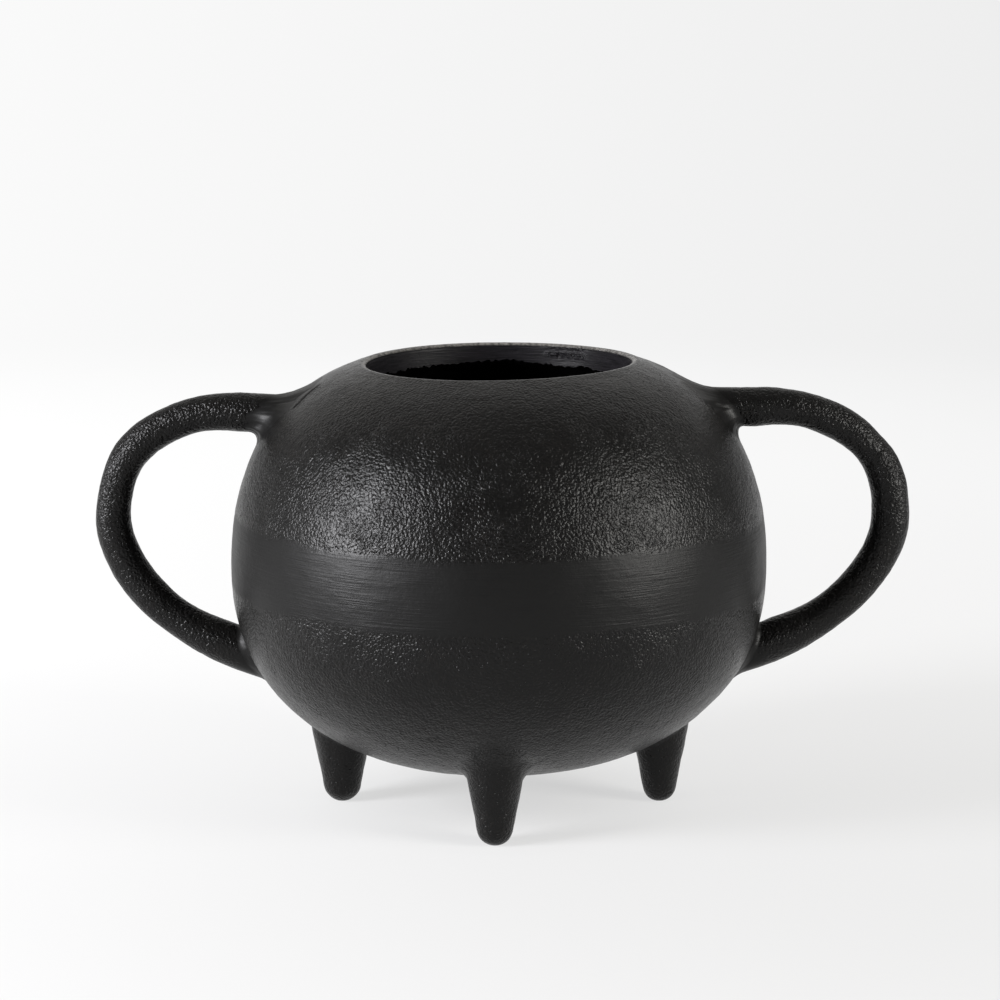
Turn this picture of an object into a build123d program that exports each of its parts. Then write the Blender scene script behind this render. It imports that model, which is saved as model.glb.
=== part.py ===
"""Squat spherical metal vase on peg feet, with two loop handles.

Two cast half shells are butted at the equator and joined by a weld that is
ground flush.  Two round bar handles and four tapered peg feet are coped
against the shells and held by fillet welds.  Millimetres, +Z up.  The origin
is on the floor under the axis of the bowl; the handles reach along X and one
foot stands at the front, on -Y.
"""

import os

from build123d import *

os.makedirs("parts", exist_ok=True)

# ---------------------------------------------------------------- dimensions
WALL = 6.0  # wall of the cast shells
MOUTH_R = 65.7  # bored mouth
MOUTH_LAND = 9.7  # height of the bored land
RIM_Z = 223.2  # top of the lip
LIP_R = 68.6  # outer edge of the lip
LIP_ROUND = 1.0  # broken inner edge of the lip
SEAM_Z = 129.0  # joint between the half shells
SEAM_OPEN = 11.0  # weld groove at the outside
SEAM_ROOT = 3.0  # weld groove at the inside

HANDLE_R_LEFT = 8.8
HANDLE_R_RIGHT = 9.1
HANDLE_WELD = 5.0  # radius of the fillet at the handle roots
SHOULDER_WELD_RIGHT = 4.8  # the right shoulder root is dressed a little closer

FOOT_CIRCLE = 80.0  # radius at which the feet stand
FOOT_FLAT_R = 3.3
FOOT_WELD = 8.0  # radius of the fillet at the feet
FRONT_FOOT_WELD = 7.8

# Outside of the bowl, half section (radius, height) from the floor pole up.
BOWL = [
    (0.0, 23.2),
    (24.2, 23.8),
    (41.5, 25.0),
    (59.6, 28.1),
    (77.7, 34.6),
    (95.1, 44.8),
    (110.6, 58.8),
    (123.1, 76.2),
    (130.6, 96.5),
    (133.0, 118.2),
    (132.9, 130.5),
    (130.7, 150.9),
    (124.6, 172.1),
    (114.4, 191.7),
    (99.2, 207.7),
    (80.6, 218.6),
    (LIP_R, RIM_Z),
]

# Side outline of a peg foot (radius, height above the floor).
FOOT = [
    (FOOT_FLAT_R, 0.0),
    (5.6, 1.3),
    (7.9, 4.4),
    (8.9, 7.9),
    (10.2, 15.3),
    (11.4, 21.2),
    (13.1, 30.0),
    (14.9, 40.0),
    (17.2, 52.0),
]

# Handle centre lines in the X-Z plane, from the shoulder round to the belly.
LEFT_LINE = [
    (-92.0, 197.8),
    (-112.0, 198.3),
    (-130.0, 198.3),
    (-146.9, 197.3),
    (-161.7, 192.5),
    (-175.3, 184.5),
    (-185.7, 172.3),
    (-190.7, 156.9),
    (-191.5, 140.8),
    (-187.0, 125.1),
    (-178.1, 111.2),
    (-166.3, 98.6),
    (-152.0, 89.2),
    (-138.0, 82.4),
    (-124.0, 77.0),
    (-104.0, 70.4),
]
RIGHT_LINE = [
    (92.0, 200.2),
    (112.0, 200.7),
    (130.0, 200.7),
    (147.3, 199.7),
    (162.9, 195.0),
    (177.3, 186.7),
    (188.6, 173.8),
    (193.9, 157.5),
    (194.2, 140.4),
    (188.5, 124.3),
    (178.7, 110.7),
    (166.2, 98.8),
    (152.0, 89.7),
    (138.0, 82.9),
    (124.0, 77.5),
    (104.0, 70.9),
]


def inward(points, depth):
    """Points of a half section moved square to it towards the inside."""
    moved = []
    for i in range(1, len(points) - 1):
        (r0, z0), (r1, z1), (r2, z2) = points[i - 1], points[i], points[i + 1]
        dr, dz = r2 - r0, z2 - z0
        size = (dr * dr + dz * dz) ** 0.5
        moved.append((r1 - depth * dz / size, z1 + depth * dr / size))
    return moved


# Inside of the bowl.  The wall thickens under the lip, where it is bored.
CAVITY = [(0.0, BOWL[0][1] + WALL)] + inward(BOWL[:-2], WALL)
CAVITY += [(79.5, 209.0), (MOUTH_R, RIM_Z - MOUTH_LAND)]

# The half sections are drawn at 45 degrees, between the handles and the feet.
SECTION = Plane((0, 0, 0), x_dir=(1, 1, 0), z_dir=(1, -1, 0))

# ------------------------------------------------------------- shared bodies
with BuildPart() as envelope:
    with BuildSketch(SECTION):
        with BuildLine():
            skin = Spline(*BOWL, tangents=[(1, 0), (-0.94, 0.34)])
            Line(skin @ 1, (0, RIM_Z))
            Line((0, RIM_Z), skin @ 0)
        make_face()
    revolve(axis=Axis.Z)

with BuildPart() as cavity:
    with BuildSketch(SECTION):
        with BuildLine():
            inside = Spline(*CAVITY, tangents=[(1, 0), (-0.97, 0.24)])
            Polyline(inside @ 1, (MOUTH_R, RIM_Z + 5), (0, RIM_Z + 5), inside @ 0)
        make_face()
    revolve(axis=Axis.Z)

with BuildPart() as groove:
    with BuildSketch(SECTION):
        with BuildLine():
            Polyline(
                (100.0, SEAM_Z - 0.2),
                (133.2 - WALL, SEAM_Z - SEAM_ROOT / 2),
                (134.5, SEAM_Z - SEAM_OPEN / 2),
                (134.5, SEAM_Z + SEAM_OPEN / 2),
                (133.2 - WALL, SEAM_Z + SEAM_ROOT / 2),
                (100.0, SEAM_Z + 0.2),
                close=True,
            )
        make_face()
    revolve(axis=Axis.Z)

# ---------------------------------------------------------------- the shells
with BuildPart() as upper_shell:
    add(envelope.part)
    add(cavity.part, mode=Mode.SUBTRACT)
    split(bisect_by=Plane.XY.offset(SEAM_Z), keep=Keep.TOP)
    add(groove.part, mode=Mode.SUBTRACT)
    lip = upper_shell.edges().filter_by(GeomType.CIRCLE).group_by(Axis.Z)[-1]
    fillet(lip.sort_by(SortBy.RADIUS)[0], LIP_ROUND)
upper_shell.part.label = "upper_shell"

with BuildPart() as lower_shell:
    add(envelope.part)
    add(cavity.part, mode=Mode.SUBTRACT)
    split(bisect_by=Plane.XY.offset(SEAM_Z), keep=Keep.BOTTOM)
    add(groove.part, mode=Mode.SUBTRACT)
lower_shell.part.label = "lower_shell"

with BuildPart() as equator_weld:
    add(groove.part)
    add(envelope.part, mode=Mode.INTERSECT)
    add(cavity.part, mode=Mode.SUBTRACT)
equator_weld.part.label = "equator_weld"

# --------------------------------------------------------------- the handles
with BuildPart() as left_bar:
    with BuildLine(Plane.XZ) as left_path:
        Spline(*LEFT_LINE)
    with BuildSketch(Plane(left_path.line @ 0, (0, 1, 0), left_path.line % 0)):
        Circle(HANDLE_R_LEFT)
    sweep(path=left_path.line)

with BuildPart() as right_bar:
    with BuildLine(Plane.XZ) as right_path:
        Spline(*RIGHT_LINE)
    with BuildSketch(Plane(right_path.line @ 0, (0, 1, 0), right_path.line % 0)):
        Circle(HANDLE_R_RIGHT)
    sweep(path=right_path.line)

with BuildPart() as left_handle:
    add(left_bar.part)
    add(envelope.part, mode=Mode.SUBTRACT)
left_handle.part.label = "left_handle"

with BuildPart() as right_handle:
    add(right_bar.part)
    add(envelope.part, mode=Mode.SUBTRACT)
right_handle.part.label = "right_handle"

# ------------------------------------------------------------------ the feet
with BuildPart() as peg:
    with BuildSketch(Plane.XZ):
        with BuildLine():
            side = Spline(*FOOT)
            Polyline(side @ 1, (0, FOOT[-1][1]), (0, 0), side @ 0)
        make_face()
    revolve(axis=Axis.Z)

FRONT_AT = Location((-1.9, -FOOT_CIRCLE, 0))
REAR_AT = Location((0, FOOT_CIRCLE, 0))
LEFT_AT = Location((-79.1, 0, 0))
RIGHT_AT = Location((80.9, 0, 0))

with BuildPart() as front_foot:
    add(peg.part.moved(FRONT_AT))
    add(envelope.part, mode=Mode.SUBTRACT)
front_foot.part.label = "front_foot"

with BuildPart() as rear_foot:
    add(peg.part.moved(REAR_AT))
    add(envelope.part, mode=Mode.SUBTRACT)
rear_foot.part.label = "rear_foot"

with BuildPart() as left_foot:
    add(peg.part.moved(LEFT_AT))
    add(envelope.part, mode=Mode.SUBTRACT)
left_foot.part.label = "left_foot"

with BuildPart() as right_foot:
    add(peg.part.moved(RIGHT_AT))
    add(envelope.part, mode=Mode.SUBTRACT)
right_foot.part.label = "right_foot"

# ----------------------------------------------------------------- the welds
def root_edges(edges, x_sign, low, high):
    """Edges where a bar meets the bowl on one side, between two heights."""
    return [
        e
        for e in edges
        if low < e.center().Z < high and e.center().X * x_sign > 70 and e.length < 90
    ]


def ankle_edges(edges, at):
    """Edges where a peg foot meets the bowl."""
    x, y = at.position.X, at.position.Y
    return [
        e
        for e in edges
        if 25 < e.center().Z < 60
        and abs(e.center().X - x) < 20
        and abs(e.center().Y - y) < 20
    ]


with BuildPart() as left_handle_upper_weld:
    add(envelope.part)
    add(left_bar.part)
    fillet(root_edges(left_handle_upper_weld.edges(), -1, 180, 215), HANDLE_WELD)
    add(envelope.part, mode=Mode.SUBTRACT)
    add(left_bar.part, mode=Mode.SUBTRACT)
left_handle_upper_weld.part.label = "left_handle_upper_weld"

with BuildPart() as left_handle_lower_weld:
    add(envelope.part)
    add(left_bar.part)
    fillet(root_edges(left_handle_lower_weld.edges(), -1, 55, 100), HANDLE_WELD)
    add(envelope.part, mode=Mode.SUBTRACT)
    add(left_bar.part, mode=Mode.SUBTRACT)
left_handle_lower_weld.part.label = "left_handle_lower_weld"

with BuildPart() as right_handle_upper_weld:
    add(envelope.part)
    add(right_bar.part)
    fillet(
        root_edges(right_handle_upper_weld.edges(), 1, 180, 215), SHOULDER_WELD_RIGHT
    )
    add(envelope.part, mode=Mode.SUBTRACT)
    add(right_bar.part, mode=Mode.SUBTRACT)
right_handle_upper_weld.part.label = "right_handle_upper_weld"

with BuildPart() as right_handle_lower_weld:
    add(envelope.part)
    add(right_bar.part)
    fillet(root_edges(right_handle_lower_weld.edges(), 1, 55, 100), HANDLE_WELD)
    add(envelope.part, mode=Mode.SUBTRACT)
    add(right_bar.part, mode=Mode.SUBTRACT)
right_handle_lower_weld.part.label = "right_handle_lower_weld"

with BuildPart() as front_foot_weld:
    add(envelope.part)
    add(peg.part.moved(FRONT_AT))
    fillet(ankle_edges(front_foot_weld.edges(), FRONT_AT), FRONT_FOOT_WELD)
    add(envelope.part, mode=Mode.SUBTRACT)
    add(peg.part.moved(FRONT_AT), mode=Mode.SUBTRACT)
front_foot_weld.part.label = "front_foot_weld"

with BuildPart() as rear_foot_weld:
    add(envelope.part)
    add(peg.part.moved(REAR_AT))
    fillet(ankle_edges(rear_foot_weld.edges(), REAR_AT), FOOT_WELD)
    add(envelope.part, mode=Mode.SUBTRACT)
    add(peg.part.moved(REAR_AT), mode=Mode.SUBTRACT)
rear_foot_weld.part.label = "rear_foot_weld"

with BuildPart() as left_foot_weld:
    add(envelope.part)
    add(peg.part.moved(LEFT_AT))
    fillet(ankle_edges(left_foot_weld.edges(), LEFT_AT), FOOT_WELD)
    add(envelope.part, mode=Mode.SUBTRACT)
    add(peg.part.moved(LEFT_AT), mode=Mode.SUBTRACT)
left_foot_weld.part.label = "left_foot_weld"

with BuildPart() as right_foot_weld:
    add(envelope.part)
    add(peg.part.moved(RIGHT_AT))
    fillet(ankle_edges(right_foot_weld.edges(), RIGHT_AT), FOOT_WELD)
    add(envelope.part, mode=Mode.SUBTRACT)
    add(peg.part.moved(RIGHT_AT), mode=Mode.SUBTRACT)
right_foot_weld.part.label = "right_foot_weld"

# --------------------------------------------------------------------- files
export_step(upper_shell.part, "parts/upper_shell.step")
export_step(lower_shell.part, "parts/lower_shell.step")
export_step(equator_weld.part, "parts/equator_weld.step")
export_step(left_handle.part, "parts/left_handle.step")
export_step(right_handle.part, "parts/right_handle.step")
export_step(left_handle_upper_weld.part, "parts/left_handle_upper_weld.step")
export_step(left_handle_lower_weld.part, "parts/left_handle_lower_weld.step")
export_step(right_handle_upper_weld.part, "parts/right_handle_upper_weld.step")
export_step(right_handle_lower_weld.part, "parts/right_handle_lower_weld.step")
export_step(front_foot.part, "parts/front_foot.step")
export_step(rear_foot.part, "parts/rear_foot.step")
export_step(left_foot.part, "parts/left_foot.step")
export_step(right_foot.part, "parts/right_foot.step")
export_step(front_foot_weld.part, "parts/front_foot_weld.step")
export_step(rear_foot_weld.part, "parts/rear_foot_weld.step")
export_step(left_foot_weld.part, "parts/left_foot_weld.step")
export_step(right_foot_weld.part, "parts/right_foot_weld.step")
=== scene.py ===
"""Looks of a squat spherical cast-metal vase with two loop handles and peg feet.

Every piece of the frame is replaced by a closed mesh of its own with the sand-cast
unevenness, the ground band at the equator, the turned mouth, the hand-dressed welds
and the pits in it.  Lengths in the mesh code are millimetres; objects are in metres.
"""

import math

import bpy
import numpy as np
from mathutils import Matrix, Vector


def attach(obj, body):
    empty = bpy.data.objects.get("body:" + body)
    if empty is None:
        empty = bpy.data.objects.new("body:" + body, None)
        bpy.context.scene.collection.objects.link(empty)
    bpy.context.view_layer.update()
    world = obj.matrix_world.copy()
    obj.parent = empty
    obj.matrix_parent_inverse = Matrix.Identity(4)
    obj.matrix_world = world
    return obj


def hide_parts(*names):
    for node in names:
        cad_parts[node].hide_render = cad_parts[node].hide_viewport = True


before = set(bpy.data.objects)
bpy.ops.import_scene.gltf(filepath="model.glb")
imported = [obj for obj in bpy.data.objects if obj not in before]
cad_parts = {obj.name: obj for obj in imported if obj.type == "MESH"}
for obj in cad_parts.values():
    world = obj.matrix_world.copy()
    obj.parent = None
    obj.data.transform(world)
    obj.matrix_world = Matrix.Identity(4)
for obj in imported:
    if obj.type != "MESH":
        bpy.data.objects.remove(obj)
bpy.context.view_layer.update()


# ------------------------------------------------------------------ dimensions
WALL = 6.0
MOUTH_R = 65.7
LAND_LOW = 213.5
RIM_Z = 223.2
LIP_R = 68.6
SEAM_OUT = (124.3, 133.7)  # heights where the seam weld shows outside
SEAM_IN = (127.5, 130.5)
BAND = (112.7, 148.4)  # the band ground smooth around the seam
EYE = 118.0  # centre that the bowl's skin is seen from

BOWL = [
    (0.0, 23.2), (24.2, 23.8), (41.5, 25.0), (59.6, 28.1), (77.7, 34.6),
    (95.1, 44.8), (110.6, 58.8), (123.1, 76.2), (130.6, 96.5), (133.0, 118.2),
    (132.9, 130.5), (130.7, 150.9), (124.6, 172.1), (114.4, 191.7),
    (99.2, 207.7), (80.6, 218.6), (LIP_R, RIM_Z),
]
FOOT = [
    (3.3, 0.0), (5.6, 1.3), (7.9, 4.4), (8.9, 7.9), (10.2, 15.3),
    (11.4, 21.2), (13.1, 30.0), (14.9, 40.0), (17.2, 52.0),
]
FEET = {
    "front_foot": (-1.9, -80.0),
    "rear_foot": (0.0, 80.0),
    "left_foot": (-79.1, 0.0),
    "right_foot": (80.9, 0.0),
}
FOOT_GROW = {"front_foot": 0.0, "rear_foot": 0.0, "left_foot": 0.6, "right_foot": -0.2}
LEFT_LINE = [
    (-92.0, 197.8), (-112.0, 198.3), (-130.0, 198.3), (-146.9, 197.3),
    (-161.7, 192.5), (-175.3, 184.5), (-185.7, 172.3), (-190.7, 156.9),
    (-191.5, 140.8), (-187.0, 125.1), (-178.1, 111.2), (-166.3, 98.6),
    (-152.0, 89.2), (-138.0, 82.4), (-124.0, 77.0), (-104.0, 70.4),
]
RIGHT_LINE = [
    (92.0, 200.2), (112.0, 200.7), (130.0, 200.7), (147.3, 199.7),
    (162.9, 195.0), (177.3, 186.7), (188.6, 173.8), (193.9, 157.5),
    (194.2, 140.4), (188.5, 124.3), (178.7, 110.7), (166.2, 98.8),
    (152.0, 89.7), (138.0, 82.9), (124.0, 77.5), (104.0, 70.9),
]
# Bar radius, and how far its middle strays sideways, every 8 mm along it from 18 mm:
# each was bent by hand and is built up with weld where it meets the bowl.
LEFT_BAR = [
    9.4, 9.5, 9.8, 9.5, 9.1, 8.7, 8.65, 8.8, 8.9, 8.9, 8.8, 8.6, 8.5, 8.65, 8.75,
    9.0, 9.15, 9.2, 9.2, 9.15, 9.05, 9.0, 9.15, 9.5, 10.2, 10.7, 10.9, 11.0, 11.0,
]
LEFT_STRAY = [
    0.5, 0.6, 0.5, 0.25, 0.2, 0.15, 0.1, 0.15, 0.1, 0.1, 0.0, 0.1, 0.1, -0.05, -0.2,
    -0.2, -0.1, -0.1, -0.2, -0.2, -0.2, -0.2, -0.35, -0.6, -0.65, -0.7, -0.7, -0.7, -0.7,
]
RIGHT_BAR = [
    9.2, 9.4, 9.8, 9.4, 8.9, 8.6, 8.7, 8.8, 8.6, 8.5, 8.4, 8.9, 9.25, 9.35, 9.35,
    9.6, 9.55, 9.3, 9.2, 9.2, 9.15, 8.95, 8.95, 9.25, 9.8, 10.4, 10.6, 10.6, 10.6,
]
RIGHT_STRAY = [
    -0.6, -0.4, -0.35, 0.0, 0.0, 0.1, 0.15, 0.0, -0.05, -0.1, -0.2, 0.0, 0.05, 0.1, 0.0,
    0.15, 0.15, 0.0, 0.1, 0.2, 0.2, 0.15, 0.3, 0.3, 0.2, 0.0, 0.1, 0.0, 0.0,
]

COLUMNS = 600


# ----------------------------------------------------------------------- noise
class Noise:
    """Seeded gradient noise, about -1 to 1, over points in millimetres."""

    def __init__(self, seed):
        rng = np.random.RandomState(seed)
        table = rng.permutation(256)
        self.perm = np.concatenate([table, table])
        grad = rng.normal(size=(256, 3))
        self.grad = grad / np.linalg.norm(grad, axis=1)[:, None]

    def __call__(self, points, cell):
        q = np.asarray(points, float) / cell + 91.37
        base = np.floor(q).astype(int)
        f = q - base
        base &= 255
        w = f * f * f * (f * (f * 6 - 15) + 10)
        out = np.zeros(len(q))
        for dx in (0, 1):
            hx = self.perm[(base[:, 0] + dx) & 255]
            wx = w[:, 0] if dx else 1 - w[:, 0]
            for dy in (0, 1):
                hy = self.perm[hx + ((base[:, 1] + dy) & 255)]
                wy = w[:, 1] if dy else 1 - w[:, 1]
                for dz in (0, 1):
                    g = self.grad[self.perm[hy + ((base[:, 2] + dz) & 255)]]
                    wz = w[:, 2] if dz else 1 - w[:, 2]
                    dot = (
                        g[:, 0] * (f[:, 0] - dx)
                        + g[:, 1] * (f[:, 1] - dy)
                        + g[:, 2] * (f[:, 2] - dz)
                    )
                    out += wx * wy * wz * dot
        return out * 1.7


N1, N2, N3, N4, N5 = (Noise(s) for s in (11, 23, 37, 41, 59))


def smooth(a, b, x):
    t = np.clip((np.asarray(x, float) - a) / (b - a), 0, 1)
    return t * t * (3 - 2 * t)


# --------------------------------------------------------------------- splines
class Curve:
    """Cubic spline through points, by chord length, run on straight past its ends."""

    def __init__(self, points, start=None, end=None):
        p = self.p = np.array(points, float)
        h = self.h = np.linalg.norm(np.diff(p, axis=0), axis=1)
        self.t = np.concatenate([[0], np.cumsum(h)])
        self.length = self.t[-1]
        n = len(p)
        m = np.zeros((n, n))
        b = np.zeros_like(p)
        m[0, 0] = m[-1, -1] = 1
        d = np.diff(p, axis=0) / h[:, None]
        b[0] = start if start is not None else (d[0] * (2 * h[0] + h[1]) - d[1] * h[0]) / (h[0] + h[1])
        b[-1] = end if end is not None else (d[-1] * (2 * h[-1] + h[-2]) - d[-2] * h[-1]) / (h[-1] + h[-2])
        for i in range(1, n - 1):
            m[i, i - 1] = h[i]
            m[i, i] = 2 * (h[i - 1] + h[i])
            m[i, i + 1] = h[i - 1]
            b[i] = 3 * (h[i] * d[i - 1] + h[i - 1] * d[i])
        self.m = np.linalg.solve(m, b)

    def __call__(self, s):
        s = np.atleast_1d(np.asarray(s, float))
        c = np.clip(s, 0, self.length)
        k = np.clip(np.searchsorted(self.t, c, side="right") - 1, 0, len(self.h) - 1)
        h = self.h[k][:, None]
        u = (c - self.t[k])[:, None] / h
        p0, p1, m0, m1 = self.p[k], self.p[k + 1], self.m[k], self.m[k + 1]
        pos = (
            (2 * u**3 - 3 * u**2 + 1) * p0
            + (u**3 - 2 * u**2 + u) * h * m0
            + (-2 * u**3 + 3 * u**2) * p1
            + (u**3 - u**2) * h * m1
        )
        tan = (
            (6 * u**2 - 6 * u) * p0 / h
            + (3 * u**2 - 4 * u + 1) * m0
            + (-6 * u**2 + 6 * u) * p1 / h
            + (3 * u**2 - 2 * u) * m1
        )
        tan /= np.linalg.norm(tan, axis=1)[:, None]
        return pos + tan * (s - c)[:, None], tan


def inward(points, depth):
    moved = []
    for i in range(1, len(points) - 1):
        (r0, z0), (r1, z1), (r2, z2) = points[i - 1], points[i], points[i + 1]
        dr, dz = r2 - r0, z2 - z0
        size = math.hypot(dr, dz)
        moved.append((r1 - depth * dz / size, z1 + depth * dr / size))
    return moved


skin_line = Curve(BOWL, (1, 0), (-0.94, 0.34))
cavity_line = Curve(
    [(0.0, BOWL[0][1] + WALL)] + inward(BOWL[:-2], WALL) + [(79.5, 209.0), (MOUTH_R, LAND_LOW)],
    (1, 0),
    (-0.97, 0.24),
)
_s = np.linspace(0, skin_line.length, 4000)
_p, _t = skin_line(_s)
_angle = np.arctan2(_p[:, 1] - EYE, _p[:, 0])
_reach = np.hypot(_p[:, 1] - EYE, _p[:, 0])
_nr, _nz = _t[:, 1], -_t[:, 0]


def skin_at_height(z):
    """Arc length along the skin of a height on its upper or middle part."""
    k = np.argmax(_p[:, 1] > z)
    u = (z - _p[k - 1, 1]) / (_p[k, 1] - _p[k - 1, 1])
    return _s[k - 1] + u * (_s[k] - _s[k - 1])


def gap(points):
    """How far points stand outside the bowl's skin, about square to it."""
    r = np.hypot(points[:, 0], points[:, 1])
    z = points[:, 2] - EYE
    a = np.arctan2(z, r)
    reach = np.hypot(r, z)
    nr, nz = np.interp(a, _angle, _nr), np.interp(a, _angle, _nz)
    return (reach - np.interp(a, _angle, _reach)) * np.maximum(nr * np.cos(a) + nz * np.sin(a), 0.3)


def bowl_normal(points):
    r = np.hypot(points[:, 0], points[:, 1])
    a = np.arctan2(points[:, 2] - EYE, r)
    nr, nz = np.interp(a, _angle, _nr), np.interp(a, _angle, _nz)
    n = np.stack([nr * points[:, 0] / np.maximum(r, 1e-6), nr * points[:, 1] / np.maximum(r, 1e-6), nz], 1)
    return n / np.linalg.norm(n, axis=1)[:, None]


# ---------------------------------------------------------------- skin of bowl
ROOTS = [
    # a point on the bar's axis at the root, its direction, how far the dressing reaches
    ((-110.0, 0.0, 198.2), (-1.0, 0.0, 0.0), 17.0),
    ((110.0, 0.0, 200.6), (1.0, 0.0, 0.0), 14.0),
    ((-118.0, 0.0, 75.0), (-0.93, 0.0, 0.36), 8.0),
    ((118.0, 0.0, 75.5), (0.93, 0.0, 0.36), 9.0),
]
PITS = [
    # centre, radius, depth
    ((66.1, -111.9, 154.6), 1.5, 0.45),
    ((72.3, -108.5, 152.5), 1.2, 0.35),
    ((-29.1, -107.7, 59.8), 1.2, 0.30),
    ((-33.0, -105.5, 58.0), 1.4, 0.3),
    ((58.0, -116.5, 150.2), 1.1, 0.3),
    ((-104.0, 60.0, 160.0), 1.8, 0.45),
    ((40.0, 118.0, 90.0), 2.0, 0.5),
    ((96.0, 78.0, 150.0), 1.5, 0.4),
]


BULGES = [
    ((-95.0, -34.0, 46.0), 42.0, 0.45),
    ((-42.0, -62.0, 28.0), 36.0, 0.40),
]


def around(points):
    """Points as (way round at the belly, 0, height), for marks that run round the bowl."""
    return np.stack([np.cos(np.arctan2(points[:, 1], points[:, 0])) * 133,
                     np.sin(np.arctan2(points[:, 1], points[:, 0])) * 133,
                     points[:, 2]], 1)


def band_mask(points):
    q = around(points)
    long = q * [1 / 26, 1 / 26, 1 / 5.0]
    fray = 1.7 * N2(long, 1.0) + 1.1 * N3(q * [1 / 9, 1 / 9, 1 / 2.2], 1.0)
    sway = 1.6 * N4(q * [1 / 90, 1 / 90, 0], 1.0)
    z = points[:, 2] + fray + sway
    return smooth(BAND[0] - 1.6, BAND[0] + 1.6, z) * (1 - smooth(BAND[1] - 1.8, BAND[1] + 1.8, z))


def dress_mask(points):
    out = np.zeros(len(points))
    wob = 2.5 * N2(points, 14.0)
    for at, way, far in ROOTS:
        way = np.array(way) / np.linalg.norm(way)
        d = points - np.array(at)
        along = d @ way
        off = np.linalg.norm(d - along[:, None] * way, axis=1) - 9.0
        near = (1 - smooth(far * 0.45, far, off + wob)) * (along > -60)
        out = np.maximum(out, near)
    return out


# Creases left where weld metal stops on the bowl, and low ridges beside them.
CREASES = [
    # line over the skin, half width, depth (a ridge where it is negative)
    ([(-88.0, -14.2, 214.4), (-92.3, -18.0, 211.4), (-94.9, -20.2, 209.4), (-97.8, -24.0, 206.4), (-100.6, -25.6, 203.9)], 0.95, 1.15),
    ([(-87.4, -16.6, 214.3), (-92.0, -20.6, 211.0), (-97.0, -26.6, 206.0), (-100.8, -29.0, 202.6)], 0.9, -0.22),
    ([(78.6, 8.6, 219.2), (83.8, 4.4, 217.1), (88.4, -3.0, 214.8), (93.6, -5.4, 211.7)], 0.9, 0.75),
    ([(93.6, -9.4, 211.4), (97.4, -14.0, 208.2), (101.5, -21.0, 204.0), (105.0, -26.6, 199.4)], 1.6, 0.85),
    ([(89.0, -11.0, 213.9), (95.0, -17.0, 209.2), (99.6, -24.0, 204.6), (103.2, -29.6, 200.0)], 1.2, -0.50),
    ([(-127.2, -17.0, 97.0), (-126.4, -19.5, 92.0), (-125.6, -21.5, 87.5), (-124.4, -22.5, 83.0)], 0.9, 0.9),
]


def line_gap(points, line):
    """Distance of points from a chain of straight runs, and how far along it they are."""
    line = np.array(line)
    best = np.full(len(points), 1e9)
    along = np.zeros(len(points))
    for k in range(len(line) - 1):
        a, b = line[k], line[k + 1]
        t = np.clip((points - a) @ (b - a) / ((b - a) @ (b - a)), 0, 1)
        d = np.linalg.norm(points - a - t[:, None] * (b - a), axis=1)
        nearer = d < best
        best = np.where(nearer, d, best)
        along = np.where(nearer, (k + t) / (len(line) - 1), along)
    return best, along


def bowl_relief(points):
    """Unevenness of the cast skin along its outward direction."""
    band, dress = band_mask(points), dress_mask(points)
    ground = np.maximum(band, dress)
    d = 0.24 * N1(points, 46.0) + 0.13 * N2(points, 21.0)
    d += (1 - 0.85 * ground) * (0.08 * N3(points, 10.0) + 0.075 * N4(points, 5.2) + 0.085 * N5(points, 3.2))
    q = around(points)
    d += band * (0.035 * N4(q * [1 / 55, 1 / 55, 1 / 4.6], 1.0) - 0.05)
    for at, size, deep in BULGES:
        far = np.linalg.norm(points - np.array(at), axis=1)
        d += deep * np.exp(-((far / size) ** 2))
    # painted shade in the pits and the creases by the welds, passed on as the 'deep' mark
    hollow_painted_shade = np.zeros(len(points))
    for at, size, deep in PITS:
        far = np.linalg.norm(points - np.array(at), axis=1)
        d -= deep * np.exp(-((far / size) ** 2) * 1.1)
        hollow_painted_shade = np.maximum(hollow_painted_shade, np.exp(-((far / size) ** 2) * 1.6))
    r = np.hypot(points[:, 0], points[:, 1])
    lip = smooth(LIP_R - 0.2, LIP_R + 5.0, r) + (points[:, 2] < EYE)
    d = d * np.clip(0.3 + 0.7 * lip, 0, 1)
    for line, wide, deep in CREASES:
        off, along = line_gap(points, line)
        ends = smooth(0, 0.12, along) * (1 - smooth(0.85, 1.0, along))
        cut = np.exp(-((off / wide) ** 2)) * (0.25 + 0.75 * ends) * (1 + 0.25 * N3(points, 3.0))
        d -= deep * cut
        if deep > 0:
            hollow_painted_shade = np.maximum(hollow_painted_shade, cut * min(1.0, deep))
    return d, {"band": band, "dress": dress, "deep": np.clip(hollow_painted_shade, 0, 1)}


def warp(points):
    """The mouth isn't level: it sits high on the right and low on the left."""
    x, y, z = points.T
    r = np.hypot(x, y)
    keep = smooth(185.0, 222.0, z) * (1 - smooth(100.0, 128.0, r))
    lift = 0.0135 * x - 0.0085 * x * (y / 66.0) + 0.25 + 0.0085 * y
    return points + np.stack([0 * x, 0 * x, lift * keep], 1)


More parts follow.
